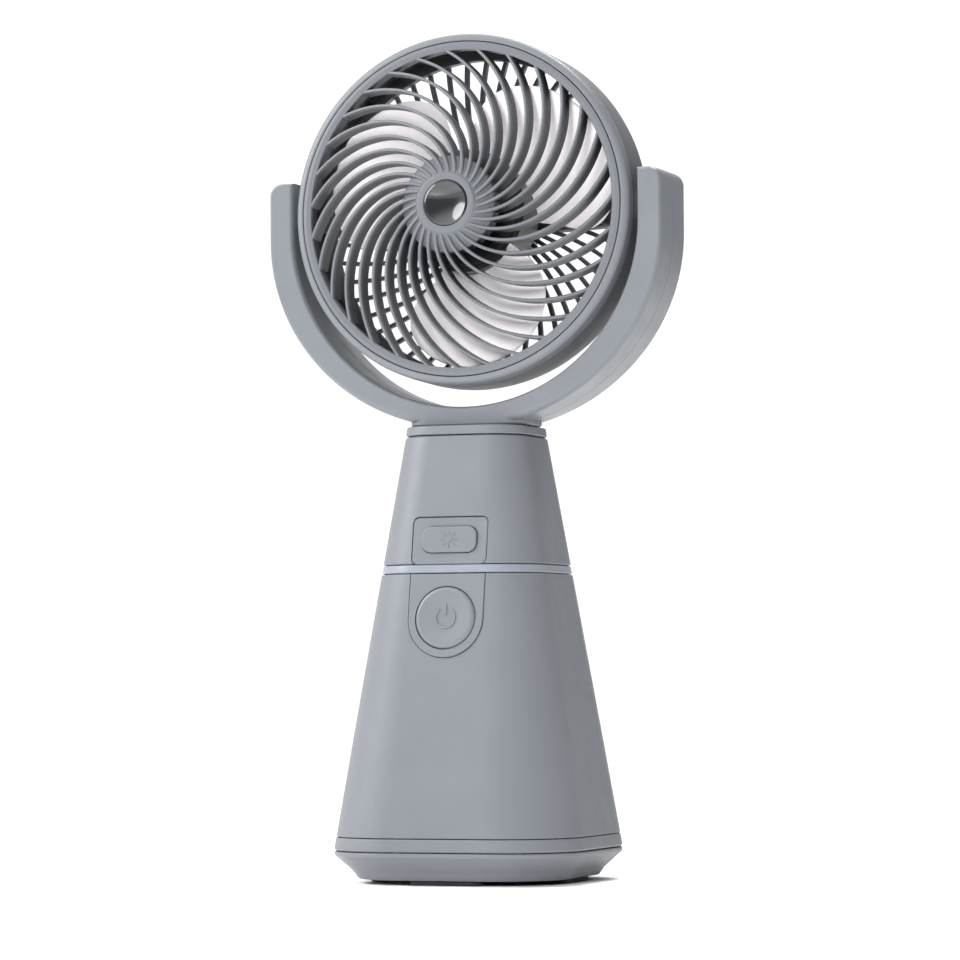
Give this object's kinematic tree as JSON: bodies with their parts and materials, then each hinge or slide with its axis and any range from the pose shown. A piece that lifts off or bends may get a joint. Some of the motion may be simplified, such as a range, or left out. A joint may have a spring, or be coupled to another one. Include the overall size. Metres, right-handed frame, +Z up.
{
  "type": "desk fan",
  "caption": "Cordless desk fan: domed spiral-grille head tilting in a U yoke that swivels on a tapered rounded-square tower with push buttons and a light band.",
  "frame": {"origin": "centre of the base on the surface that the feet stand on", "axes": "+Z up along the tower's axis, -Y towards the front where the controls and the grille face, +X to the right as seen from the front"},
  "size_m": [0.1746, 0.1088, 0.3544],
  "materials": {
    "shell": "satin moulded plastic, cool mid grey, very fine texture",
    "grille": "satin moulded plastic, cool mid grey",
    "button": "satin moulded plastic, cool mid grey",
    "diffuser": "milky light-guide plastic, unlit",
    "blade": "satin pale plastic with a faint pink cast",
    "dark_plastic": "glossy near-black plastic",
    "white_plastic": "natural acetal",
    "rubber": "matte dark grey rubber",
    "steel": "zinc-plated steel",
    "board": "green solder mask",
    "cell": "blue shrink-wrapped cell",
    "cable": "red insulated twin lead"
  },
  "bodies": {
    "tower": {"base_pan": "shell", "base_skirt": "shell", "foot_front": "rubber", "foot_rear": "rubber", "foot_left": "rubber", "foot_right": "rubber", "lower_housing": "shell", "light_ring": "diffuser", "upper_housing": "shell", "neck_collar": "shell", "swivel_bush": "white_plastic", "base_screw_1": "steel", "base_screw_2": "steel", "base_screw_3": "steel", "base_screw_4": "steel", "battery_tray": "dark_plastic", "battery_cell_1": "cell", "battery_cell_2": "cell", "battery_lead": "cable", "main_board": "board", "charge_socket": "steel", "led_board": "board", "button_board": "board", "power_plate": "shell", "power_switch": "dark_plastic", "light_plate": "shell", "light_switch": "dark_plastic"},
    "power_button": {"power_button": "button"},
    "light_button": {"light_button": "button"},
    "yoke": {"yoke_front_shell": "shell", "yoke_rear_shell": "shell", "yoke_screw_1": "steel", "yoke_screw_2": "steel", "yoke_screw_3": "steel", "yoke_screw_4": "steel", "tilt_washer_left": "white_plastic", "tilt_washer_right": "white_plastic", "swivel_spindle": "steel", "swivel_washer": "steel", "swivel_clip": "steel"},
    "head": {"head_barrel": "shell", "front_ring": "shell", "front_grille": "grille", "hub_insert": "dark_plastic", "rear_grille": "grille", "tilt_pin_left": "steel", "tilt_pin_right": "steel", "head_screw_1": "steel", "head_screw_2": "steel", "head_screw_3": "steel", "head_screw_4": "steel", "motor_case": "steel", "motor_stator": "steel", "motor_bearing_front": "steel", "motor_bearing_rear": "steel"},
    "impeller": {"impeller": "blade", "hub_cap": "dark_plastic", "impeller_nut": "steel", "motor_shaft": "steel", "motor_rotor": "steel"}
  },
  "joints": [
    {"name": "swivel", "type": "hinge", "parent": "tower", "child": "yoke", "pos_m": [0, 0, 0.19], "axis": [0, 0, 1], "range_deg": [-45, 45]},
    {"name": "tilt", "type": "hinge", "parent": "yoke", "child": "head", "pos_m": [0, 0, 0.28], "axis": [-1, 0, 0], "range_deg": [-32, 88]},
    {"name": "impeller_spin", "type": "hinge", "parent": "head", "child": "impeller", "pos_m": [0, 0, 0.28], "axis": [0, 0.9994, -0.0349], "continuous": true},
    {"name": "power_press", "type": "slide", "parent": "tower", "child": "power_button", "axis": [0, 0.9872, -0.1592], "range_m": [0, 0.001], "stiffness_N_per_m": 2000, "springref_m": -0.0005},
    {"name": "light_press", "type": "slide", "parent": "tower", "child": "light_button", "axis": [0, 0.9872, -0.1592], "range_m": [0, 0.001], "stiffness_N_per_m": 2000, "springref_m": -0.0005}
  ]
}
